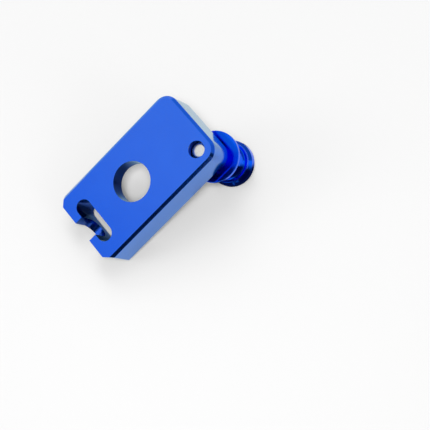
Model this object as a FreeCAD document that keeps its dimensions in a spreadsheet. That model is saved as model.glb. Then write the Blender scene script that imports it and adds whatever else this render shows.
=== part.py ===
import FreeCAD, Part
import math
import os

import Sketcher
from FreeCAD import Vector

# Motorcycle chain adjuster, the left-hand one of a mirrored pair, in millimetres.
# A machined plate slides along the swing arm and carries the wheel axle. A turned lifting spool stands on
# its back at one corner of the round end, and one screw from the spool's free end holds it.
# Origin: the axle bore's axis on the front face. +X runs to the spool end and +Z out of the front face.

doc = FreeCAD.newDocument("chain_adjuster")

# Driving sizes: name, value and what it measures
SIZES = [
    ("block_length", 78.0, "plate, slot end to spool end"),
    ("block_width", 42.0, "plate, side to side"),
    ("block_thickness", 17.5, "plate, front face to back face"),
    ("bore_to_slot_end", 35.5, "axle bore's axis to the slot end"),
    ("corner_radius", 7.2, "two round corners of the spool end"),
    ("end_cut", 4.1, "legs of the two 45 degree cuts of the slot end"),
    ("front_chamfer", 1.4, "front edge of the long sides and the round end"),
    ("back_chamfer", 0.5, "back edge of the long sides and the round end"),
    ("axle_bore", 20.0, "diameter for the wheel axle"),
    ("axle_wall", 8.75, "depth of the axle bore, from the front face to the recess"),
    ("recess_bore", 35.0, "diameter of the back recess, for the axle's washer and nut"),
    ("slot_width", 8.0, "obround slot for the head of the adjuster bolt"),
    ("slot_length", 25.5, "obround slot, across the plate"),
    ("slot_from_end", 8.4, "slot's centre line to the slot end"),
    ("channel_width", 11.6, "round-bottomed channel for the adjuster bolt's shank"),
    ("channel_depth", 8.2, "front face to the centre of the channel's round floor"),
    ("spool_from_end", 8.15, "spool axis to the plate's round end"),
    ("spool_from_side", 8.65, "spool axis to the plate's nearer long side"),
    ("collar_radius", 6.8, "neck that seats on the plate"),
    ("collar_length", 4.2, "neck that seats on the plate"),
    ("inner_flange_radius", 12.9, "flange next to the plate"),
    ("inner_flange_length", 2.1, "flange next to the plate"),
    ("inner_flange_edge", 0.3, "chamfers of the flange next to the plate"),
    ("waist_length", 16.45, "room between the flanges for a stand's hook"),
    ("waist_radius", 7.2, "waist at its middle"),
    ("waist_end_radius", 8.8, "waist where it meets the flanges"),
    ("ring_radius", 10.4, "raised ring on the outer flange, towards the waist"),
    ("ring_length", 1.5, "raised ring on the outer flange, towards the waist"),
    ("ring_edge", 0.25, "chamfer of the raised ring"),
    ("flare_length", 1.9, "cone from the ring up to the rim"),
    ("outer_flange_radius", 11.7, "rim at the free end"),
    ("rim_length", 3.55, "rim at the free end"),
    ("rim_edge", 0.5, "chamfer of the free end"),
    ("screw_diameter", 8.0, "thread diameter"),
    ("screw_length", 35.0, "screw under its head"),
    ("screw_tip_edge", 1.0, "chamfer of the screw's tip"),
    ("head_diameter", 13.0, "cylinder head"),
    ("head_height", 8.0, "cylinder head"),
    ("head_edge", 0.6, "chamfer of the head"),
    ("socket_width", 6.0, "hexagon socket across flats"),
    ("socket_depth", 4.0, "hexagon socket"),
    ("tip_setback", 3.2, "front face to the screw's tip"),
    ("tip_bore", 8.4, "diameter of the front bore that shows the screw's tip"),
    ("tip_bore_depth", 4.6, "front bore that shows the screw's tip"),
    ("thread_clearance", 0.05, "screw to the tapped bore, on the radius"),
    ("shank_clearance", 0.25, "screw to the spool's bore, on the radius"),
    ("head_clearance", 0.25, "screw's head to the spool's counterbore, on the radius"),
]
# Sizes that follow from those above
FORMULAS = [
    ("bore_to_spool_end", "=block_length - bore_to_slot_end", "axle bore's axis to the spool end"),
    ("spool_along", "=bore_to_spool_end - spool_from_end", "axle axis to spool axis, along the plate"),
    ("spool_across", "=block_width / 2 - spool_from_side", "axle axis to spool axis, across the plate"),
    ("spool_bore", "=screw_diameter / 2 + shank_clearance", "radius of the spool's bore"),
    ("head_bore", "=head_diameter / 2 + head_clearance", "radius of the spool's counterbore"),
    ("tapped_radius", "=screw_diameter / 2 + thread_clearance", "radius of the plate's tapped bore"),
    ("head_seat", "=tip_setback + screw_length", "front face to the seat of the screw's head"),
]
sheet = doc.addObject("Spreadsheet::Sheet", "sizes")
for row, (alias, value, note) in enumerate(SIZES + FORMULAS, start=1):
    sheet.set(f"A{row}", str(value))
    sheet.set(f"B{row}", note)
    sheet.setAlias(f"A{row}", alias)
doc.recompute()
size = {alias: float(sheet.get(alias)) for alias, value, note in SIZES + FORMULAS}


# Shared helpers

# Sketcher's numbers for a curve's start, end and centre, and for a sketch's two axes
START, END, CENTRE = range(1, 4)
H_AXIS, V_AXIS = range(-1, -3, -1)
ORIGIN = (H_AXIS, START)
NEAR = 1e-4


def new_body(name):
    body = doc.addObject("PartDesign::Body", name)
    body.Label = name
    return body


def new_sketch(body, name, role, lift=None):
    """A sketch on one of the body's own origin planes, moved along the plane's normal by a formula."""
    sketch = body.newObject("Sketcher::SketchObject", name)
    plane = next(f for f in body.Origin.OriginFeatures if f.Role == role)
    sketch.AttachmentSupport = (plane, [""])
    sketch.MapMode = "FlatFace"
    if lift:
        sketch.setExpression("AttachmentOffset.Base.z", lift)
    return sketch


def line(start, end):
    return Part.LineSegment(Vector(*start, 0), Vector(*end, 0))


def arc(centre, radius, from_degrees, to_degrees):
    circle = Part.Circle(Vector(*centre, 0), Vector(0, 0, 1), radius)
    return Part.ArcOfCircle(circle, math.radians(from_degrees), math.radians(to_degrees))


def add_loop(sketch, curves, smooth=()):
    """Closes the curves into one loop. The joints after the numbers in smooth are tangent."""
    for curve in curves:
        sketch.addGeometry(curve, False)
    for i in range(len(curves)):
        after = (i + 1) % len(curves)
        joint = "Tangent" if i in smooth else "Coincident"
        sketch.addConstraint(Sketcher.Constraint(joint, i, END, after, START))


def straight(sketch, direction, *lines):
    for i in lines:
        sketch.addConstraint(Sketcher.Constraint(direction, i))


def span(sketch, name, direction, start, end, formula):
    """A named distance between two points along X or Y, which follows the sheet."""
    gap = sketch.getPoint(*end) - sketch.getPoint(*start)
    now = gap.x if direction == "DistanceX" else gap.y
    number = sketch.addConstraint(Sketcher.Constraint(direction, *start, *end, now))
    sketch.renameConstraint(number, name)
    sketch.setExpression(f"Constraints.{name}", formula)


def radius(sketch, name, curve, formula):
    """A named radius that follows the sheet."""
    now = sketch.Geometry[curve].Radius
    number = sketch.addConstraint(Sketcher.Constraint("Radius", curve, now))
    sketch.renameConstraint(number, name)
    sketch.setExpression(f"Constraints.{name}", formula)


def add_circle(sketch, name, centre, across, formula, along=None, aside=None):
    """A circle at the sketch's origin, or at named distances from it."""
    sketch.addGeometry(Part.Circle(Vector(*centre, 0), Vector(0, 0, 1), across / 2), False)
    radius(sketch, name, 0, formula)
    if along is None:
        sketch.addConstraint(Sketcher.Constraint("Coincident", 0, CENTRE, *ORIGIN))
        return
    span(sketch, name + "_along", "DistanceX", ORIGIN, (0, CENTRE), along)
    span(sketch, name + "_aside", "DistanceY", (0, CENTRE), ORIGIN, aside)


def pad(body, name, sketch, length, down=False):
    feature = body.newObject("PartDesign::Pad", name)
    feature.Profile = sketch
    feature.Reversed = down
    feature.setExpression("Length", length)
    doc.recompute()
    return feature


def pocket(body, name, sketch, depth=None, reverse=False):
    """Cuts against the sketch's normal, or along it if reversed, to a depth or right through."""
    before = body.Shape.Volume
    feature = body.newObject("PartDesign::Pocket", name)
    feature.Profile = sketch
    feature.Reversed = reverse
    if depth:
        feature.setExpression("Length", depth)
    else:
        feature.Type = "ThroughAll"
    doc.recompute()
    if body.Shape.Volume > before - NEAR:
        raise RuntimeError(f"{name} cuts nothing")
    return feature


def edges_where(shape, wanted):
    return [f"Edge{i}" for i, edge in enumerate(shape.Edges, start=1) if wanted(edge)]


def chamfer(body, name, formula, wanted):
    base = body.Tip
    names = edges_where(base.Shape, wanted)
    if not names:
        raise RuntimeError(f"{name} finds no edge")
    feature = body.newObject("PartDesign::Chamfer", name)
    feature.Base = (base, names)
    feature.setExpression("Size", formula)
    doc.recompute()
    return feature


def lies_at(edge, height):
    """True if the whole edge lies at this height."""
    return abs(edge.BoundBox.ZMin - height) < NEAR and abs(edge.BoundBox.ZMax - height) < NEAR


def is_circle(edge, wanted_radius, height):
    """True for a circle, or a part of one, of this radius at this height."""
    if not isinstance(edge.Curve, Part.Circle):
        return False
    return abs(edge.Curve.Radius - wanted_radius) < NEAR and lies_at(edge, height)


# The plate

half_width = size["block_width"] / 2
slot_end = -size["bore_to_slot_end"]
spool_end = size["bore_to_spool_end"]
corner = size["corner_radius"]
cut = size["end_cut"]

block = new_body("adjuster_block")
outline = new_sketch(block, "plate_outline", "XY_Plane")
add_loop(
    outline,
    [
        line((slot_end + cut, -half_width), (spool_end - corner, -half_width)),
        arc((spool_end - corner, corner - half_width), corner, -90, 0),
        line((spool_end, corner - half_width), (spool_end, half_width - corner)),
        arc((spool_end - corner, half_width - corner), corner, 0, 90),
        line((spool_end - corner, half_width), (slot_end + cut, half_width)),
        line((slot_end + cut, half_width), (slot_end, half_width - cut)),
        line((slot_end, half_width - cut), (slot_end, cut - half_width)),
        line((slot_end, cut - half_width), (slot_end + cut, -half_width)),
    ],
    smooth=(0, 1, 2, 3),
)
straight(outline, "Horizontal", 0, 4)
outline.addConstraint(Sketcher.Constraint("Equal", 1, 3))
outline.addConstraint(Sketcher.Constraint("Symmetric", 6, START, 6, END, H_AXIS))
outline.addConstraint(Sketcher.Constraint("Symmetric", 2, START, 2, END, H_AXIS))
radius(outline, "corner", 1, "sizes.corner_radius")
span(outline, "to_slot_end", "DistanceX", (6, START), ORIGIN, "sizes.bore_to_slot_end")
span(outline, "to_spool_end", "DistanceX", ORIGIN, (2, START), "sizes.bore_to_spool_end")
span(outline, "width", "DistanceY", (0, END), (4, START), "sizes.block_width")
span(outline, "low_cut_along", "DistanceX", (7, START), (7, END), "sizes.end_cut")
span(outline, "low_cut_aside", "DistanceY", (7, END), (7, START), "sizes.end_cut")
span(outline, "high_cut_along", "DistanceX", (5, END), (5, START), "sizes.end_cut")
pad(block, "plate", outline, "sizes.block_thickness", down=True)


def is_long_side_or_round_end(edge):
    return edge.BoundBox.XMax > slot_end + cut + NEAR


# Sharp edges stay at the slot end and its two cuts
chamfer(
    block,
    "front_edges",
    "sizes.front_chamfer",
    lambda edge: lies_at(edge, 0) and is_long_side_or_round_end(edge),
)
chamfer(
    block,
    "back_edges",
    "sizes.back_chamfer",
    lambda edge: lies_at(edge, -size["block_thickness"]) and is_long_side_or_round_end(edge),
)

axle_circle = new_sketch(block, "axle_circle", "XY_Plane")
add_circle(axle_circle, "axle", (0, 0), size["axle_bore"], "sizes.axle_bore / 2")
pocket(block, "axle_bore", axle_circle)

recess_circle = new_sketch(block, "recess_circle", "XY_Plane", "-sizes.block_thickness")
add_circle(recess_circle, "recess", (0, 0), size["recess_bore"], "sizes.recess_bore / 2")
pocket(block, "axle_recess", recess_circle, "sizes.block_thickness - sizes.axle_wall", reverse=True)

slot_x = slot_end + size["slot_from_end"]
slot_round = size["slot_width"] / 2
slot_reach = size["slot_length"] / 2 - slot_round
slot_outline = new_sketch(block, "slot_outline", "XY_Plane")
add_loop(
    slot_outline,
    [
        line((slot_x + slot_round, -slot_reach), (slot_x + slot_round, slot_reach)),
        arc((slot_x, slot_reach), slot_round, 0, 180),
        line((slot_x - slot_round, slot_reach), (slot_x - slot_round, -slot_reach)),
        arc((slot_x, -slot_reach), slot_round, 180, 360),
    ],
    smooth=(0, 1, 2, 3),
)
straight(slot_outline, "Vertical", 0)
slot_outline.addConstraint(Sketcher.Constraint("Symmetric", 1, CENTRE, 3, CENTRE, H_AXIS))
radius(slot_outline, "round_end", 1, "sizes.slot_width / 2")
span(slot_outline, "reach", "DistanceY", (3, CENTRE), (1, CENTRE), "sizes.slot_length - sizes.slot_width")
span(slot_outline, "place", "DistanceX", (1, CENTRE), ORIGIN, "sizes.bore_to_slot_end - sizes.slot_from_end")
pocket(block, "bolt_slot", slot_outline)

# The channel's section: a U whose open top stands a little above the front face
channel_round = size["channel_width"] / 2
channel_floor = -size["channel_depth"]
channel_top = size["front_chamfer"]
channel_section = new_sketch(block, "channel_section", "YZ_Plane", "-sizes.bore_to_slot_end")
add_loop(
    channel_section,
    [
        line((-channel_round, channel_top), (-channel_round, channel_floor)),
        arc((0, channel_floor), channel_round, 180, 360),
        line((channel_round, channel_floor), (channel_round, channel_top)),
        line((channel_round, channel_top), (-channel_round, channel_top)),
    ],
    smooth=(0, 1),
)
straight(channel_section, "Vertical", 0, 2)
straight(channel_section, "Horizontal", 3)
channel_section.addConstraint(Sketcher.Constraint("PointOnObject", 1, CENTRE, V_AXIS))
radius(channel_section, "round_floor", 1, "sizes.channel_width / 2")
span(channel_section, "depth", "DistanceY", (1, CENTRE), ORIGIN, "sizes.channel_depth")
span(channel_section, "open_top", "DistanceY", ORIGIN, (3, START), "sizes.front_chamfer")
pocket(block, "bolt_channel", channel_section, "sizes.slot_from_end", reverse=True)

tip_circle = new_sketch(block, "tip_circle", "XY_Plane")
spool_centre = (size["spool_along"], -size["spool_across"])
add_circle(
    tip_circle,
    "tip",
    spool_centre,
    size["tip_bore"],
    "sizes.tip_bore / 2",
    "sizes.spool_along",
    "sizes.spool_across",
)
pocket(block, "tip_bore", tip_circle, "sizes.tip_bore_depth")

tapped_circle = new_sketch(block, "tapped_circle", "XY_Plane")
add_circle(
    tapped_circle,
    "tapped",
    spool_centre,
    2 * size["tapped_radius"],
    "sizes.tapped_radius",
    "sizes.spool_along",
    "sizes.spool_across",
)
pocket(block, "tapped_bore", tapped_circle)

# The spool: half of its section turned about the screw's axis, from its seat down to the free end

inner_face = -size["collar_length"]
inner_back = inner_face - size["inner_flange_length"]
waist_end = inner_back - size["waist_length"]
ring_end = waist_end - size["ring_length"]
rim_start = ring_end - size["flare_length"]
free_end = rim_start - size["rim_length"]
head_seat = size["block_thickness"] - size["head_seat"]
bore = size["spool_bore"]
head_bore = size["head_bore"]
waist_hollow = size["waist_end_radius"] - size["waist_radius"]
waist_arc = ((size["waist_length"] / 2) ** 2 + waist_hollow**2) / (2 * waist_hollow)
waist_centre = (size["waist_radius"] + waist_arc, inner_back - size["waist_length"] / 2)
waist_half_turn = math.degrees(math.asin(size["waist_length"] / 2 / waist_arc))

spool = new_body("spool")
section = new_sketch(spool, "spool_section", "XZ_Plane")
add_loop(
    section,
    [
        line((bore, 0), (size["collar_radius"], 0)),
        line((size["collar_radius"], 0), (size["collar_radius"], inner_face)),
        line((size["collar_radius"], inner_face), (size["inner_flange_radius"], inner_face)),
        line((size["inner_flange_radius"], inner_face), (size["inner_flange_radius"], inner_back)),
        line((size["inner_flange_radius"], inner_back), (size["waist_end_radius"], inner_back)),
        arc(waist_centre, waist_arc, 180 - waist_half_turn, 180 + waist_half_turn),
        line((size["waist_end_radius"], waist_end), (size["ring_radius"], waist_end)),
        line((size["ring_radius"], waist_end), (size["ring_radius"], ring_end)),
        line((size["ring_radius"], ring_end), (size["outer_flange_radius"], rim_start)),
        line((size["outer_flange_radius"], rim_start), (size["outer_flange_radius"], free_end)),
        line((size["outer_flange_radius"], free_end), (head_bore, free_end)),
        line((head_bore, free_end), (head_bore, head_seat)),
        line((head_bore, head_seat), (bore, head_seat)),
        line((bore, head_seat), (bore, 0)),
    ],
)
straight(section, "Horizontal", 0, 2, 4, 6, 10, 12)
straight(section, "Vertical", 1, 3, 7, 9, 11, 13)
section.addConstraint(Sketcher.Constraint("PointOnObject", 0, START, H_AXIS))
span(section, "bore", "DistanceX", ORIGIN, (0, START), "sizes.spool_bore")
span(section, "collar", "DistanceX", ORIGIN, (0, END), "sizes.collar_radius")
span(section, "inner_flange", "DistanceX", ORIGIN, (2, END), "sizes.inner_flange_radius")
span(section, "waist_top", "DistanceX", ORIGIN, (4, END), "sizes.waist_end_radius")
span(section, "waist_foot", "DistanceX", ORIGIN, (6, START), "sizes.waist_end_radius")
span(section, "ring", "DistanceX", ORIGIN, (6, END), "sizes.ring_radius")
span(section, "rim", "DistanceX", ORIGIN, (8, END), "sizes.outer_flange_radius")
span(section, "head_bore", "DistanceX", ORIGIN, (10, END), "sizes.head_bore")
span(section, "collar_length", "DistanceY", (1, END), (1, START), "sizes.collar_length")
span(section, "inner_flange_length", "DistanceY", (3, END), (3, START), "sizes.inner_flange_length")
span(section, "waist_length", "DistanceY", (5, END), (5, START), "sizes.waist_length")
span(section, "ring_length", "DistanceY", (7, END), (7, START), "sizes.ring_length")
span(section, "flare_length", "DistanceY", (8, END), (8, START), "sizes.flare_length")
span(section, "rim_length", "DistanceY", (9, END), (9, START), "sizes.rim_length")
span(section, "head_seat", "DistanceY", (12, END), ORIGIN, "sizes.head_seat - sizes.block_thickness")
radius(
    section,
    "waist_arc",
    5,
    "((sizes.waist_length / 2)^2 + (sizes.waist_end_radius - sizes.waist_radius)^2)"
    " / (2 * (sizes.waist_end_radius - sizes.waist_radius))",
)
turning = spool.newObject("PartDesign::Revolution", "spool_turning")
turning.Profile = section
turning.ReferenceAxis = (section, ["V_Axis"])
turning.Angle = 360
doc.recompute()
chamfer(
    spool,
    "inner_flange_edges",
    "sizes.inner_flange_edge",
    lambda edge: is_circle(edge, size["inner_flange_radius"], inner_face)
    or is_circle(edge, size["inner_flange_radius"], inner_back),
)
chamfer(
    spool,
    "ring_edges",
    "sizes.ring_edge",
    lambda edge: is_circle(edge, size["ring_radius"], waist_end),
)
chamfer(
    spool,
    "rim_edges",
    "sizes.rim_edge",
    lambda edge: is_circle(edge, size["outer_flange_radius"], free_end),
)
spool.setExpression("Placement.Base.x", "sizes.spool_along")
spool.setExpression("Placement.Base.y", "-sizes.spool_across")
spool.setExpression("Placement.Base.z", "-sizes.block_thickness")

# The screw: its head's seat at its own origin, the shank up through spool and plate, the head below

screw = new_body("spool_screw")
shank_circle = new_sketch(screw, "shank_circle", "XY_Plane")
add_circle(shank_circle, "shank", (0, 0), size["screw_diameter"], "sizes.screw_diameter / 2")
pad(screw, "shank", shank_circle, "sizes.screw_length")
head_circle = new_sketch(screw, "head_circle", "XY_Plane")
add_circle(head_circle, "head", (0, 0), size["head_diameter"], "sizes.head_diameter / 2")
pad(screw, "head", head_circle, "sizes.head_height", down=True)

HEXAGON_SIDES = 6
socket_reach = size["socket_width"] / math.sqrt(3)
socket_corners = [
    (
        socket_reach * math.cos(2 * math.pi * i / HEXAGON_SIDES),
        socket_reach * math.sin(2 * math.pi * i / HEXAGON_SIDES),
    )
    for i in range(HEXAGON_SIDES)
]
socket_outline = new_sketch(screw, "socket_outline", "XY_Plane", "-sizes.head_height")
add_loop(
    socket_outline,
    [line(socket_corners[i], socket_corners[(i + 1) % HEXAGON_SIDES]) for i in range(HEXAGON_SIDES)],
)
round_guide = socket_outline.addGeometry(Part.Circle(Vector(0, 0, 0), Vector(0, 0, 1), socket_reach), True)
socket_outline.addConstraint(Sketcher.Constraint("Coincident", round_guide, CENTRE, *ORIGIN))
for i in range(HEXAGON_SIDES):
    socket_outline.addConstraint(Sketcher.Constraint("PointOnObject", i, START, round_guide))
for i in range(1, HEXAGON_SIDES):
    socket_outline.addConstraint(Sketcher.Constraint("Equal", 0, i))
socket_outline.addConstraint(Sketcher.Constraint("PointOnObject", 0, START, H_AXIS))
radius(socket_outline, "reach", round_guide, "sizes.socket_width / sqrt(3)")
pocket(screw, "socket", socket_outline, "sizes.socket_depth", reverse=True)
chamfer(
    screw,
    "tip_edge",
    "sizes.screw_tip_edge",
    lambda edge: is_circle(edge, size["screw_diameter"] / 2, size["screw_length"]),
)
chamfer(
    screw,
    "head_edge",
    "sizes.head_edge",
    lambda edge: is_circle(edge, size["head_diameter"] / 2, -size["head_height"]),
)
screw.setExpression("Placement.Base.x", "sizes.spool_along")
screw.setExpression("Placement.Base.y", "-sizes.spool_across")
screw.setExpression("Placement.Base.z", "-sizes.head_seat")
doc.recompute()

# Every object must be sound before anything is written
for item in doc.Objects:
    if "Invalid" in item.State or "Error" in item.State:
        raise RuntimeError(f"{item.Name} failed: {item.State}")
os.makedirs("parts", exist_ok=True)
for node in (block, spool, screw):
    if node.Shape.isNull() or not node.Shape.isValid():
        raise RuntimeError(f"{node.Label} has no valid shape")
for node in (block, spool, screw):
    node.Shape.exportStep(f"parts/{node.Label}.step")
    print(node.Label, "volume", round(node.Shape.Volume, 1), "solids", len(node.Shape.Solids))
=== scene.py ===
import math

import bmesh
import bpy
import numpy as np
from mathutils import Matrix, Vector


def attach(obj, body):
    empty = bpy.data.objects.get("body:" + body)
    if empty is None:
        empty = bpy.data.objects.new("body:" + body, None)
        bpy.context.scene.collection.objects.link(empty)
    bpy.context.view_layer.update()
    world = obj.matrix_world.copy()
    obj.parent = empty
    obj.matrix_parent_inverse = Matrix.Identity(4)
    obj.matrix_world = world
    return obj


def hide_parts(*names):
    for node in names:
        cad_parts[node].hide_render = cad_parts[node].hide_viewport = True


# Dresses a motorcycle chain adjuster: an anodised plate, its turned lifting spool and the screw
# that holds the spool. Sizes are millimetres in the part's own frame, and meshes are in metres.

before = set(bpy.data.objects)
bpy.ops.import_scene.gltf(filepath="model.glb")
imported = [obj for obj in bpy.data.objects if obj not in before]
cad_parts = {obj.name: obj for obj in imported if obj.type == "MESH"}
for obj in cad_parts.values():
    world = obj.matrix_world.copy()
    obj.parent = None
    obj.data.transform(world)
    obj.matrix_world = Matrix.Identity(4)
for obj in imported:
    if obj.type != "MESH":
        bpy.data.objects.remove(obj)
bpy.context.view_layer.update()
mm = 0.001
print("frame loaded:", ", ".join(sorted(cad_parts)))


def newPiece(name, points, faces, material):
    mesh = bpy.data.meshes.new(name)
    mesh.from_pydata(points * mm, [], faces)
    mesh.materials.append(material)
    mesh.polygons.foreach_set("use_smooth", np.ones(len(mesh.polygons), bool))
    mesh.update()
    piece = bpy.data.objects.new(name, mesh)
    bpy.context.scene.collection.objects.link(piece)
    return piece


def gridFaces(rows, columns, closeRows=False):
    # Quads between neighbouring rows, closed round the columns. closeRows also joins the last row
    # to the first
    row = np.arange(rows if closeRows else rows - 1)[:, None]
    column = np.arange(columns)[None, :]
    here, there = row * columns, (row + 1) % rows * columns
    nextColumn = (column + 1) % columns
    corners = (there + column, there + nextColumn, here + nextColumn, here + column)
    return np.stack(np.broadcast_arrays(*corners), -1).reshape(-1, 4)


def roundedCorners(corners, radii, steps):
    # Each corner becomes an arc tangent to its two sides: the centre lies on the corner's bisector
    # at radius / sin(half angle), and the points turn evenly from one tangent point to the other
    corners, radii = np.asarray(corners, float), np.asarray(radii, float)[:, None]
    before = np.roll(corners, 1, 0) - corners
    after = np.roll(corners, -1, 0) - corners
    before /= np.linalg.norm(before, axis=1, keepdims=True)
    after /= np.linalg.norm(after, axis=1, keepdims=True)
    half = np.arccos(np.clip((before * after).sum(1, keepdims=True), -1, 1)) / 2
    bisector = before + after
    bisector /= np.linalg.norm(bisector, axis=1, keepdims=True)
    centre = corners + bisector * radii / np.sin(half)
    reach = radii / np.tan(half)
    start = (corners + before * reach - centre) / radii
    end = (corners + after * reach - centre) / radii
    turn = np.pi - 2 * half
    share = np.linspace(0, 1, steps)
    first = np.sin((1 - share) * turn) / np.sin(turn)
    last = np.sin(share * turn) / np.sin(turn)
    arcs = first[..., None] * start[:, None] + last[..., None] * end[:, None]
    return (centre[:, None] + radii[:, None] * arcs).reshape(-1, 2)


def evenNormals(piece):
    # Large faces decide the shading, so flats stay flat beside their small round edges
    weighted = piece.modifiers.new("evenNormals", "WEIGHTED_NORMAL")
    weighted.weight = 80  # 50 is neutral, and more favours the larger faces
    weighted.keep_sharp = True


def finishPiece(piece, node):
    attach(piece, "root")
    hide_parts(node)
    print("made", piece.name, len(piece.data.polygons), "faces")


def newMaterial(name):
    material = bpy.data.materials.new(name)
    material.use_nodes = True
    tree = material.node_tree
    return material, tree, tree.nodes["Principled BSDF"]


def addNode(tree, kind, values=None, **settings):
    node = tree.nodes.new(kind)
    for key, value in settings.items():
        setattr(node, key, value)
    for key, value in (values or {}).items():
        node.inputs[key].default_value = value
    return node


def objectPosition(tree):
    return addNode(tree, "ShaderNodeTexCoord").outputs["Object"]


def noise(tree, vector, scale, detail, roughness=0.5):
    values = {"Scale": scale, "Detail": detail, "Roughness": roughness}
    node = addNode(tree, "ShaderNodeTexNoise", values)
    tree.links.new(vector, node.inputs["Vector"])
    return node.outputs["Fac"]


def spread(tree, value, low, high):
    # Noise lies mostly between a quarter and three quarters, and that span becomes low to high
    values = {"From Min": 0.25, "From Max": 0.75, "To Min": low, "To Max": high}
    node = addNode(tree, "ShaderNodeMapRange", values)
    tree.links.new(value, node.inputs["Value"])
    return node.outputs["Result"]


def smoothStep(tree, value, clear, full):
    # 0 at the length clear, 1 at the length full, and a smooth step between them
    values = {"From Min": clear * mm, "From Max": full * mm, "To Min": 0, "To Max": 1}
    node = addNode(tree, "ShaderNodeMapRange", values, interpolation_type="SMOOTHSTEP")
    tree.links.new(value, node.inputs["Value"])
    return node.outputs["Result"]


def blend(tree, value, first, second):
    node = addNode(tree, "ShaderNodeMix", data_type="RGBA")
    node.inputs["A"].default_value = (*first, 1)
    node.inputs["B"].default_value = (*second, 1)
    tree.links.new(value, node.inputs["Factor"])
    return node.outputs["Result"]


def bump(tree, height, strength, distance):
    node = addNode(tree, "ShaderNodeBump", {"Strength": strength, "Distance": distance * mm})
    tree.links.new(height, node.inputs["Height"])
    return node.outputs["Normal"]


def arithmetic(tree, operation, first, second):
    node = addNode(tree, "ShaderNodeMath", operation=operation)
    tree.links.new(first, node.inputs[0])
    tree.links.new(second, node.inputs[1])
    return node.outputs["Value"]


def offAxis(tree, position, centre):
    # Distance from the spool's axis and height along it, as a vector (radius, 0, z) for rings
    # that follow the turning
    moved = addNode(tree, "ShaderNodeVectorMath", operation="SUBTRACT")
    moved.inputs[1].default_value = (centre[0] * mm, centre[1] * mm, 0)
    tree.links.new(position, moved.inputs[0])
    split = addNode(tree, "ShaderNodeSeparateXYZ")
    tree.links.new(moved.outputs["Vector"], split.inputs["Vector"])
    flat = addNode(tree, "ShaderNodeCombineXYZ")
    tree.links.new(split.outputs["X"], flat.inputs["X"])
    tree.links.new(split.outputs["Y"], flat.inputs["Y"])
    length = addNode(tree, "ShaderNodeVectorMath", operation="LENGTH")
    tree.links.new(flat.outputs["Vector"], length.inputs[0])
    rings = addNode(tree, "ShaderNodeCombineXYZ")
    tree.links.new(length.outputs["Value"], rings.inputs["X"])
    tree.links.new(split.outputs["Z"], rings.inputs["Z"])
    return rings.outputs["Vector"]


def metalSurface(tree, shader, look, colourNoise, roughNoise, reliefNoise):
    # Two close colours, a roughness that varies and a fine relief, each led by its own noise
    colour = blend(tree, colourNoise, *look["colours"])
    tree.links.new(colour, shader.inputs["Base Color"])
    tree.links.new(spread(tree, roughNoise, *look["roughness"]), shader.inputs["Roughness"])
    tree.links.new(bump(tree, reliefNoise, *look["relief"]), shader.inputs["Normal"])
    shader.inputs["Metallic"].default_value = 1


def oxideLayer(shader, look):
    # The clear layer over the dye, and the colour that the dyed metal takes when seen edge on
    shader.inputs["Specular Tint"].default_value = (*look["edgeTint"], 1)
    shader.inputs["Coat Weight"].default_value = look["coat"]
    shader.inputs["Coat Roughness"].default_value = look["coatRoughness"]


# Patterns are (scale, detail), roughness is (smoothest, roughest), relief is (strength, depth)
plateFinish = {
    "colours": ((0.0015, 0.110, 0.76), (0.003, 0.135, 0.84)),
    "edgeTint": (0.55, 0.88, 0.62),
    "clouds": (70, 3),
    "grain": (5200, 2),
    "relief": (0.35, 0.004),
    "roughness": (0.17, 0.23),
    "coat": 0.9,
    "coatRoughness": 0.06,
}
# The walls of the bores, pocket and slot: a darker blue, a weaker coat and a darker edge tint that
# paint shade on them, and a slightly rougher surface
boreShadeAndFinish = {
    "colours": ((0.001, 0.050, 0.36), (0.002, 0.060, 0.42)),
    "edgeTint": (0.25, 0.60, 0.70),
    "clouds": (70, 3),
    "grain": (5200, 2),
    "relief": (0.35, 0.004),
    "roughness": (0.20, 0.26),
    "coat": 0.35,
    "coatRoughness": 0.08,
}


def plateMaterial(name, look):
    # Blasted and anodised aluminium: soft clouds, a fine grain and a clear oxide layer
    material, tree, shader = newMaterial(name)
    position = objectPosition(tree)
    clouds = noise(tree, position, *look["clouds"])
    grain = noise(tree, position, *look["grain"])
    metalSurface(tree, shader, look, clouds, clouds, grain)
    oxideLayer(shader, look)
    return material


spoolAxis = (34.35, -12.35)
turnedFinish = {
    "colours": ((0.001, 0.102, 0.90), (0.002, 0.124, 0.96)),
    "edgeTint": (1, 1, 1),
    "clouds": (90, 2),
    "rings": (2600, 2),
    "relief": (0.25, 0.003),
    "roughness": (0.10, 0.16),
    "coat": 0.05,
    "coatRoughness": 0.04,
}


def turnedMaterial(look):
    # Bright turned and anodised aluminium: fine rings about the spool's axis
    material, tree, shader = newMaterial("blueAnodisedTurning")
    position = objectPosition(tree)
    rings = noise(tree, offAxis(tree, position, spoolAxis), *look["rings"])
    clouds = noise(tree, position, *look["clouds"])
    metalSurface(tree, shader, look, clouds, rings, rings)
    oxideLayer(shader, look)
    return material


steelFinish = {
    "colours": ((0.66, 0.63, 0.59), (0.93, 0.895, 0.85)),
    "mottle": (900, 3, 0.6),  # scale, detail, roughness of the noise
    "rings": (2200, 2),
    "relief": (0.4, 0.006),
    "roughness": (0.24, 0.38),
}


def steelMaterial(look):
    # Bare stainless steel with turning rings and a little mottling
    material, tree, shader = newMaterial("screwSteel")
    position = objectPosition(tree)
    rings = noise(tree, offAxis(tree, position, spoolAxis), *look["rings"])
    mottle = noise(tree, position, *look["mottle"])
    metalSurface(tree, shader, look, mottle, mottle, rings)
    return material


plateBlue = plateMaterial("blueAnodisedPlate", plateFinish)
# The darker blue of the bores, pocket and slot is painted shade
boreShadedBlue = plateMaterial("blueAnodisedBoresPaintedShade", boreShadeAndFinish)
turnedBlue = turnedMaterial(turnedFinish)
screwSteel = steelMaterial(steelFinish)
print("finishes made")


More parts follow.
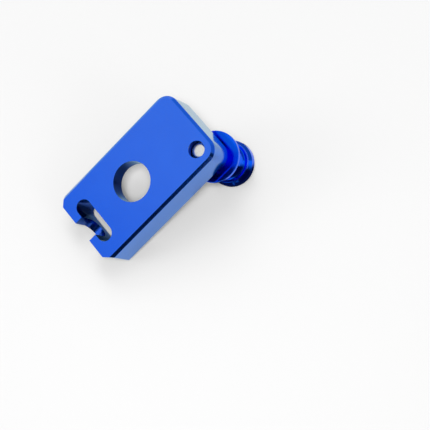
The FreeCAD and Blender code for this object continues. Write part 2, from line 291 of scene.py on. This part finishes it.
plateEdges = {
    "width": 0.14,
    "segments": 2,
    "sharpest": 28,  # degrees between faces, from which an edge is broken
    "mergeWithin": 0.001,
    "flatWithin": 0.05,  # degrees between triangles that belong to one flat
}
boreReach = {
    "pocket": 18,
    "screwBore": 4,
    "slotEnd": -34.5,
    "slotFront": -14,
    "slotHalf": 14,
    "upright": 0.2,  # the normal of a bore's wall leans less than this towards z
    "level": 0.98,  # and that of a slot's wall less than this
}


def isBoreWall(face, reach):
    # Walls of the bores, pocket and slot, told from the flats and outer sides by where their
    # middle is and by how far their normal leans towards z
    x, y, z = face.calc_center_median() / mm
    lean = abs(face.normal.z)
    inPocket = math.hypot(x, y) < reach["pocket"]
    inScrewBore = math.hypot(x - spoolAxis[0], y - spoolAxis[1]) < reach["screwBore"]
    inSlot = reach["slotEnd"] < x < reach["slotFront"] and abs(y) < reach["slotHalf"]
    inBore = lean < reach["upright"] and (inPocket or inScrewBore)
    return inBore or (inSlot and lean < reach["level"])


def dressedPlate(edges):
    # A merged copy of the CAD plate whose flats are single faces, with its crisp edges broken
    # by a narrow round
    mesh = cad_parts["adjuster_block"].data.copy()
    mesh.name = "adjusterPlate"
    work = bmesh.new()
    work.from_mesh(mesh)
    bmesh.ops.remove_doubles(work, verts=work.verts, dist=edges["mergeWithin"] * mm)
    flat = math.radians(edges["flatWithin"])
    bmesh.ops.dissolve_limit(work, angle_limit=flat, verts=work.verts, edges=work.edges)
    for face in work.faces:
        face.smooth = True
        # Bore, pocket and slot walls take the darker material, which paints their shade
        face.material_index = int(isBoreWall(face, boreReach))
    mesh.materials.clear()
    mesh.materials.append(plateBlue)
    mesh.materials.append(boreShadedBlue)
    work.to_mesh(mesh)
    work.free()
    piece = bpy.data.objects.new("adjusterPlate", mesh)
    bpy.context.scene.collection.objects.link(piece)
    rounding = piece.modifiers.new("brokenEdges", "BEVEL")
    rounding.width = edges["width"] * mm
    rounding.segments = edges["segments"]
    rounding.limit_method = "ANGLE"
    rounding.angle_limit = math.radians(edges["sharpest"])
    evenNormals(piece)
    return piece


plate = dressedPlate(plateEdges)
finishPiece(plate, "adjuster_block")


spoolSizes = {
    "seat": -17.5,
    "bore": 4.25,
    "neck": (6.8, 4.2),  # radius, length
    "flange": (12.9, 2.1),
    "waist": (7.2, 8.8, 16.45),  # middle radius, end radius, length
    "ring": (10.4, 1.5),
    "flare": 1.9,
    "rim": (11.7, 3.55),
    "headBore": 6.75,
    "headSeat": -38.2,
    "seatEdge": 0.15,
    "neckFoot": 0.2,
    "flangeEdge": 0.3,
    "waistFoot": 0.35,
    "ringEdges": (0.25, 0.2),
    "rimEdges": (0.2, 0.5),
    "mouthEdge": 0.3,
    "counterboreEdge": 0.1,
    "waistRows": 32,
    "waistClear": 0.4,  # the hollow arc's rows stay this far from its rounded ends
    "arcRows": 6,
    "sides": 160,
}


def spoolProfile(sizes):
    # The spool's half section as a closed loop of (radius, z): straight runs with rounded
    # corners, and one long hollow arc for the waist, worked out from its end radius, its middle
    # radius and its length: bow = (half length squared + hollow squared) / (2 hollow)
    neckRadius, neckLength = sizes["neck"]
    flangeRadius, flangeWidth = sizes["flange"]
    middle, end, length = sizes["waist"]
    ringRadius, ringWidth = sizes["ring"]
    rimRadius, rimWidth = sizes["rim"]
    flangeFront = sizes["seat"] - neckLength
    flangeBack = flangeFront - flangeWidth
    waistEnd = flangeBack - length
    ringEnd = waistEnd - ringWidth
    rimStart = ringEnd - sizes["flare"]
    freeEnd = rimStart - rimWidth
    beforeWaist = [
        (sizes["bore"], sizes["seat"], sizes["seatEdge"]),
        (neckRadius, sizes["seat"], sizes["seatEdge"]),
        (neckRadius, flangeFront, sizes["neckFoot"]),
        (flangeRadius, flangeFront, sizes["flangeEdge"]),
        (flangeRadius, flangeBack, sizes["flangeEdge"]),
        (end, flangeBack, sizes["waistFoot"]),
    ]
    afterWaist = [
        (end, waistEnd, sizes["waistFoot"]),
        (ringRadius, waistEnd, sizes["ringEdges"][0]),
        (ringRadius, ringEnd, sizes["ringEdges"][1]),
        (rimRadius, rimStart, sizes["rimEdges"][0]),
        (rimRadius, freeEnd, sizes["rimEdges"][1]),
        (sizes["headBore"], freeEnd, sizes["mouthEdge"]),
        (sizes["headBore"], sizes["headSeat"], sizes["counterboreEdge"]),
        (sizes["bore"], sizes["headSeat"], sizes["counterboreEdge"]),
    ]
    corners = np.array(beforeWaist + afterWaist)
    loop = roundedCorners(corners[:, :2], corners[:, 2], sizes["arcRows"])
    hollow = end - middle
    bow = ((length / 2) ** 2 + hollow**2) / (2 * hollow)
    halfTurn = math.asin(length / 2 / bow)
    turn = np.linspace(-halfTurn, halfTurn, sizes["waistRows"] + 2)[1:-1]
    waistMiddle = (flangeBack + waistEnd) / 2
    waist = np.c_[middle + bow - bow * np.cos(turn), waistMiddle - bow * np.sin(turn)]
    clear = sizes["waistClear"]
    inside = (waist[:, 1] < flangeBack - clear) & (waist[:, 1] > waistEnd + clear)
    atWaist = len(beforeWaist) * sizes["arcRows"]
    return np.vstack([loop[:atWaist], waist[inside], loop[atWaist:]])


def turnedRing(name, profile, sides, centre, material):
    # Every profile point is carried round: (x, y, z) = centre + (radius cos t, radius sin t, z)
    turn = np.linspace(0, 2 * np.pi, sides, endpoint=False)
    radius, height = profile[:, :1], profile[:, 1:2]
    points = np.stack([
        centre[0] + radius * np.cos(turn),
        centre[1] + radius * np.sin(turn),
        np.broadcast_to(height, (len(profile), sides)),
    ], -1)
    faces = gridFaces(len(profile), sides, closeRows=True)
    return newPiece(name, points.reshape(-1, 3), faces, material)


profile = spoolProfile(spoolSizes)
spool = turnedRing("liftingSpool", profile, spoolSizes["sides"], spoolAxis, turnedBlue)
evenNormals(spool)
finishPiece(spool, "spool")


# The small rounds are lists of offsets (radius, z) from the corner that they soften
screwSizes = {
    "tip": -3.2,
    "headSeat": -38.2,
    "radius": 4.0,
    "tipEdge": 1.0,
    "tipRound": ((-0.12, 0), (-0.03, -0.02)),
    "pitch": 1.25,
    "threadDepth": 0.72,
    "threadLength": 22.0,
    "threadStart": 0.12,  # share of the tip's edge
    "threadRunOut": 2,  # pitches
    "grooveSlope": 2.9,
    "crestShare": 0.35,
    "shankStart": 0.3,
    "underHead": ((0, 0.4), (0.15, 0.08), (0.4, 0)),
    "head": (6.5, 8.0),  # radius, height
    "seatRound": ((-0.2, 0), (-0.05, -0.05), (0, -0.2)),
    "headRound": ((0, 0.75), (-0.06, 0.55), (-0.5, 0.08), (-0.7, 0)),
    "socket": (6.0, 4.0),  # across flats, depth
    "mouthRound": ((0.96, 0), (0.72, 0.05)),
    "socketMouth": (0.06, 0.25, 0.4),  # wider by, until, straight from
    "socketFoot": (0.1, 0.15),
    "drillPoint": 1.0,
    "pole": 0.02,
    "sides": 120,
    "rowsPerPitch": 14,
}


def softened(radius, height, offsets):
    return [(radius + outward, height + upward) for outward, upward in offsets]


def screwSurface(sizes):
    # Rows from the tip's middle down the thread and head and into the hexagon socket. A row's
    # radius is its own value, less the thread's groove where the row is threaded. A socket row
    # follows the hexagon: radius = half across flats / cos(angle from the nearest flat's middle)
    turn = np.linspace(0, 2 * np.pi, sizes["sides"], endpoint=False)[None, :]
    tip, seat, full, pole = sizes["tip"], sizes["headSeat"], sizes["radius"], sizes["pole"]
    pitch, tipEdge = sizes["pitch"], sizes["tipEdge"]
    headRadius, headHeight = sizes["head"]
    across, depth = sizes["socket"]
    end = seat - headHeight
    rows = int(sizes["threadLength"] / pitch * sizes["rowsPerPitch"])
    start = tip - tipEdge * sizes["threadStart"]
    threadHeight = start - np.linspace(0, sizes["threadLength"], rows)
    taper = np.clip((tip - threadHeight) / tipEdge, 0, 1)
    threadRadius = full - tipEdge * (1 - taper)
    threadEnd = threadHeight[-1]
    runOut = np.clip((threadHeight - threadEnd) / (sizes["threadRunOut"] * pitch), 0, 1)
    smallTip = full - tipEdge
    front = [(pole, tip), (smallTip / 2, tip), *softened(smallTip, tip, sizes["tipRound"])]
    back = [
        (full, threadEnd - sizes["shankStart"]),
        *softened(full, seat, sizes["underHead"]),
        *softened(headRadius, seat, sizes["seatRound"]),
        *softened(headRadius, end, sizes["headRound"]),
        *softened(across / 2, end, sizes["mouthRound"]),
    ]
    outline = np.vstack([front, np.c_[threadRadius, threadHeight], back])
    # Groove of the thread: a wave of the height along the helix, flat at crest and root
    phase = (outline[:, 1:2] / pitch - turn / (2 * np.pi)) % 1
    wave = np.clip(np.abs(phase - 0.5) * sizes["grooveSlope"] - sizes["crestShare"], 0, 1)
    threaded = np.concatenate([np.zeros(len(front)), runOut * taper, np.zeros(len(back))])
    radius = outline[:, :1] - wave * sizes["threadDepth"] * threaded[:, None]
    height = np.broadcast_to(outline[:, 1:2], radius.shape)
    hexagon = across / 2 / np.cos((turn % (np.pi / 3)) - np.pi / 6)
    wider, mouthEnd, straightFrom = sizes["socketMouth"]
    inset, footHeight = sizes["socketFoot"]
    bottom, point = end + depth, sizes["drillPoint"]
    socket = np.vstack([
        hexagon + wider,
        hexagon,
        hexagon,
        hexagon - inset,
        hexagon / 2,
        np.full_like(hexagon, pole),
    ])
    socketHeight = np.array([
        end + mouthEnd,
        end + straightFrom,
        bottom - footHeight,
        bottom,
        bottom + point / 2,
        bottom + point,
    ])
    radius = np.vstack([radius, socket])
    height = np.vstack([height, np.broadcast_to(socketHeight[:, None], socket.shape)])
    x = spoolAxis[0] + radius * np.cos(turn)
    y = spoolAxis[1] + radius * np.sin(turn)
    return np.stack([x, y, height], -1)


def closedScrew(sizes):
    points = screwSurface(sizes)
    rows, sides = points.shape[:2]
    faces = gridFaces(rows, sides).tolist()
    faces.append(list(range(sides)))
    faces.append(list(range(rows * sides - 1, (rows - 1) * sides - 1, -1)))
    return newPiece("spoolScrew", points.reshape(-1, 3), faces, screwSteel)


screw = closedScrew(screwSizes)
evenNormals(screw)
finishPiece(screw, "spool_screw")


stageSetup = {
    "floorNormal": (0.4524, 0, 0.8918),
    "floorPoint": (-35.5, 0, -17.5),
    "floorMiddle": (10, -10, 0),
    "floorRadius": 280,
    "fadeStart": 40,
    "innerRing": 1,
    "floorSides": 96,
    "floorColour": (0.93, 0.93, 0.93),
    "floorRoughness": 0.9,
    "background": 0.95,  # strengths of the white world, as each kind of ray sees it
    "skyInMetal": 0.95,
    "skyOnFloor": 0.32,
}


def layFloor(setup):
    # A disc across the floor's normal, below the part: (x, y) = radius (cos t, sin t), which
    # clears towards its rim
    normal = Vector(setup["floorNormal"]).normalized()
    middle = Vector(setup["floorMiddle"])
    middle -= normal * (middle - Vector(setup["floorPoint"])).dot(normal)
    sides, fadeStart, rim = setup["floorSides"], setup["fadeStart"], setup["floorRadius"]
    turn = np.linspace(0, 2 * np.pi, sides, endpoint=False)
    radius = np.array([setup["innerRing"], fadeStart, rim])[:, None]
    x, y = radius * np.cos(turn), radius * np.sin(turn)
    points = np.stack([x, y, np.zeros_like(x)], -1).reshape(-1, 3)
    faces = gridFaces(len(radius), sides).tolist() + [list(range(sides))]
    material, tree, shader = newMaterial("floorPaint")
    shader.inputs["Base Color"].default_value = (*setup["floorColour"], 1)
    shader.inputs["Roughness"].default_value = setup["floorRoughness"]
    shader.inputs["Specular IOR Level"].default_value = 0
    distance = addNode(tree, "ShaderNodeVectorMath", operation="LENGTH")
    tree.links.new(objectPosition(tree), distance.inputs[0])
    fade = smoothStep(tree, distance.outputs["Value"], rim, fadeStart)
    # Clear from beneath, so that the floor hides nothing in a low view
    above = addNode(tree, "ShaderNodeMath", {0: 1}, operation="SUBTRACT")
    backfacing = addNode(tree, "ShaderNodeNewGeometry").outputs["Backfacing"]
    tree.links.new(backfacing, above.inputs[1])
    cover = arithmetic(tree, "MULTIPLY", fade, above.outputs["Value"])
    tree.links.new(cover, shader.inputs["Alpha"])
    floor = newPiece("floor", points, faces, material)
    turned = normal.to_track_quat("Z", "Y").to_matrix().to_4x4()
    floor.matrix_world = Matrix.Translation(middle * mm) @ turned


layFloor(stageSetup)

# Dark, grey and tinted glowing cards that only the metal mirrors: painted reflections and painted
# shade. Reach is left, right, low and high from the centre, and fade is across and upright
paintedReflectionCards = {
    # The two dark curtains paint a dark low side of the room into the metal's reflections
    "lowCurtain": {
        "centre": (-35, -560, 420),
        "normal": (-0.05, -0.80, 0.60),
        "reach": (-400, 430, -330, 60),
        "fade": (300, 300),
        "light": (0.020, 0.026, 0.030),
    },
    "highCurtain": {
        "centre": (-35, -560, 420),
        "normal": (-0.05, -0.80, 0.60),
        "reach": (-400, -40, 0, 600),
        "fade": (260, 260),
        "light": (0.020, 0.026, 0.030),
    },
    # These tinted cards paint blue-tinted reflections onto the plate's end chamfer, front face and
    # corner; the face card tints the front face most towards the slot end
    "endCard": {
        "centre": (550, 205, 125),
        "normal": (0.917, 0.341, 0.209),
        "reach": (-130, 130, -130, 130),
        "fade": (130, 130),
        "light": (0.25, 0.58, 0.72),
    },
    "faceCard": {
        "centre": (-125, 205, 550),
        "normal": (-0.209, 0.341, 0.917),
        "reach": (-280, -130, -130, 130),
        "fade": (165, 130),
        "light": (0.46, 0.72, 0.94),
    },
    "cornerCard": {
        "centre": (510, -210, 216),
        "normal": (0.85, -0.35, 0.36),
        "reach": (-150, 150, -120, 120),
        "fade": (120, 120),
        "light": (0.22, 0.45, 0.60),
    },
    # The tinted card behind the plate paints a blue-tinted reflection onto the plate's chamfer on
    # that side, and the grey card beyond the spool dims what the metal mirrors there
    "behindPlate": {
        "centre": (5, 62, -22),
        "normal": (0, 1, 0),
        "reach": (-45, 45, -18, 30),
        "fade": (25, 12),
        "light": (0.44, 0.70, 0.95),
    },
    "beyondSpool": {
        "centre": (64, 0, -42),
        "normal": (0.97, 0.24, 0),
        "reach": (-30, 32, -10, 10),
        "fade": (9, 8),
        "light": (0.38, 0.38, 0.40),
    },
    # These three dark cards are painted shadow: the shaded floor round the spool's foot, as the
    # metal mirrors it
    "besideSpoolPaintedShadow": {
        "centre": (20, -48, -50),
        "normal": (0, -1, 0),
        "reach": (-90, 28, -25, 8),
        "fade": (28, 18),
        "light": (0.003, 0.012, 0.035),
    },
    "underSpoolPaintedShadow": {
        "centre": (30, -24, -50.2),
        "normal": (0.4524, 0, 0.8918),
        "reach": (-18, 16, -4, 20),
        "fade": (6, 4),
        "light": (0.012, 0.025, 0.055),
    },
    "nearSpoolPaintedShadow": {
        "centre": (34, -30, -52),
        "normal": (0, -1, 0),
        "reach": (-13, 8, -12, 8),
        "fade": (3, 3),
        "light": (0.003, 0.012, 0.035),
    },
}


def hangReflectionCard(name, setup):
    # A flat glowing patch that only the metal mirrors, a painted reflection. Past its reach it
    # clears over the fade: cover = the least of four smooth steps, one a side
    toward = Vector(setup["normal"]).normalized()
    left, right, low, high = setup["reach"]
    wide, tall = setup["fade"]
    clearEdges = (left - wide, right + wide, low - tall, high + tall)
    material, tree, shader = newMaterial(name)
    shader.inputs["Base Color"].default_value = (0, 0, 0, 1)
    shader.inputs["Specular IOR Level"].default_value = 0
    shader.inputs["Emission Color"].default_value = (*setup["light"], 1)
    shader.inputs["Emission Strength"].default_value = 1
    split = addNode(tree, "ShaderNodeSeparateXYZ")
    tree.links.new(objectPosition(tree), split.inputs["Vector"])
    cover = None
    for axis, clear, full in zip("XXYY", clearEdges, setup["reach"]):
        step = smoothStep(tree, split.outputs[axis], clear, full)
        cover = step if cover is None else arithmetic(tree, "MINIMUM", cover, step)
    tree.links.new(cover, shader.inputs["Alpha"])
    x0, x1, y0, y1 = clearEdges
    corners = np.array([(x0, y0, 0), (x1, y0, 0), (x1, y1, 0), (x0, y1, 0)], float)
    card = newPiece(name, corners, [(0, 1, 2, 3)], material)
    across = Vector((1, 0, 0)) - toward * toward.x
    across.normalize()
    turned = Matrix((across, toward.cross(across), toward)).transposed()
    card.matrix_world = Matrix.Translation(Vector(setup["centre"]) * mm) @ turned.to_4x4()
    card.visible_camera = False
    card.visible_diffuse = False
    card.visible_shadow = False


for name, setup in paintedReflectionCards.items():
    hangReflectionCard(name, setup)


def lightSky(setup):
    # White all round: the pale background for the camera, the same white in metal, and less of
    # it on the floor
    world = bpy.data.worlds.new("paleSky")
    bpy.context.scene.world = world
    world.use_nodes = True
    tree = world.node_tree
    shader = tree.nodes["Background"]
    shader.inputs["Color"].default_value = (1, 1, 1, 1)
    path = addNode(tree, "ShaderNodeLightPath")
    seenBy = {
        "Is Glossy Ray": setup["skyInMetal"],
        "Is Transmission Ray": setup["skyInMetal"],
        "Is Camera Ray": setup["background"],
    }
    strength = None
    for ray, seen in seenBy.items():
        choice = addNode(tree, "ShaderNodeMix", {"A": setup["skyOnFloor"], "B": seen})
        tree.links.new(path.outputs[ray], choice.inputs["Factor"])
        if strength is not None:
            tree.links.new(strength, choice.inputs["A"])
        strength = choice.outputs["Result"]
    tree.links.new(strength, shader.inputs["Strength"])


lightSky(stageSetup)

softboxDistance = 2600
softboxes = {
    "frontSoftbox": {"toward": (0.209, -0.341, 0.917), "size": 560, "radiance": 40.0},
    "highSoftbox": {"toward": (0.604, 0.199, 0.772), "size": 1000, "radiance": 1.8},
    "backSoftbox": {"toward": (0.577, 0.564, 0.591), "size": 1000, "radiance": 1.6},
    "lowSoftbox": {"toward": (0.333, -0.858, 0.390), "size": 1000, "radiance": 1.2},
    "leftSoftbox": {"toward": (-0.496, 0.358, 0.791), "size": 1000, "radiance": 2.3},
}


def hangSoftbox(name, setup):
    # A square lamp aimed at the part, which lights the floor and isn't mirrored. Its power in
    # watts is pi x area x the brightness of its face
    toward = Vector(setup["toward"]).normalized()
    data = bpy.data.lights.new(name, "AREA")
    data.shape = "SQUARE"
    data.size = setup["size"] * mm
    data.energy = math.pi * data.size**2 * setup["radiance"]
    lamp = bpy.data.objects.new(name, data)
    turned = toward.to_track_quat("Z", "Y").to_matrix().to_4x4()
    lamp.matrix_world = Matrix.Translation(toward * softboxDistance * mm) @ turned
    lamp.visible_camera = False
    lamp.visible_glossy = False
    bpy.context.scene.collection.objects.link(lamp)


for name, setup in softboxes.items():
    hangSoftbox(name, setup)
bpy.context.scene.cycles.caustics_reflective = False
bpy.context.scene.view_settings.view_transform = "Standard"

# The camera's place and its two directions, fitted to the photograph. The clip is in metres
cameraSetup = {
    "place": (134.55, -228.08, 499.59),
    "right": (0.6931, -0.6097, -0.3846),
    "up": (0.6899, 0.7157, 0.1086),
    "lens": 97.87,
    "sensor": 36,
    "clip": (0.01, 10),
}


def placeCamera(setup):
    data = bpy.data.cameras.new("camera")
    data.lens = setup["lens"]
    data.sensor_width = setup["sensor"]
    data.clip_start, data.clip_end = setup["clip"]
    right = Vector(setup["right"]).normalized()
    back = right.cross(Vector(setup["up"])).normalized()
    turned = Matrix((right, back.cross(right), back)).transposed()
    camera = bpy.data.objects.new("camera", data)
    camera.matrix_world = Matrix.Translation(Vector(setup["place"]) * mm) @ turned.to_4x4()
    bpy.context.scene.collection.objects.link(camera)
    bpy.context.scene.camera = camera


placeCamera(cameraSetup)
print("floor, light and camera set")
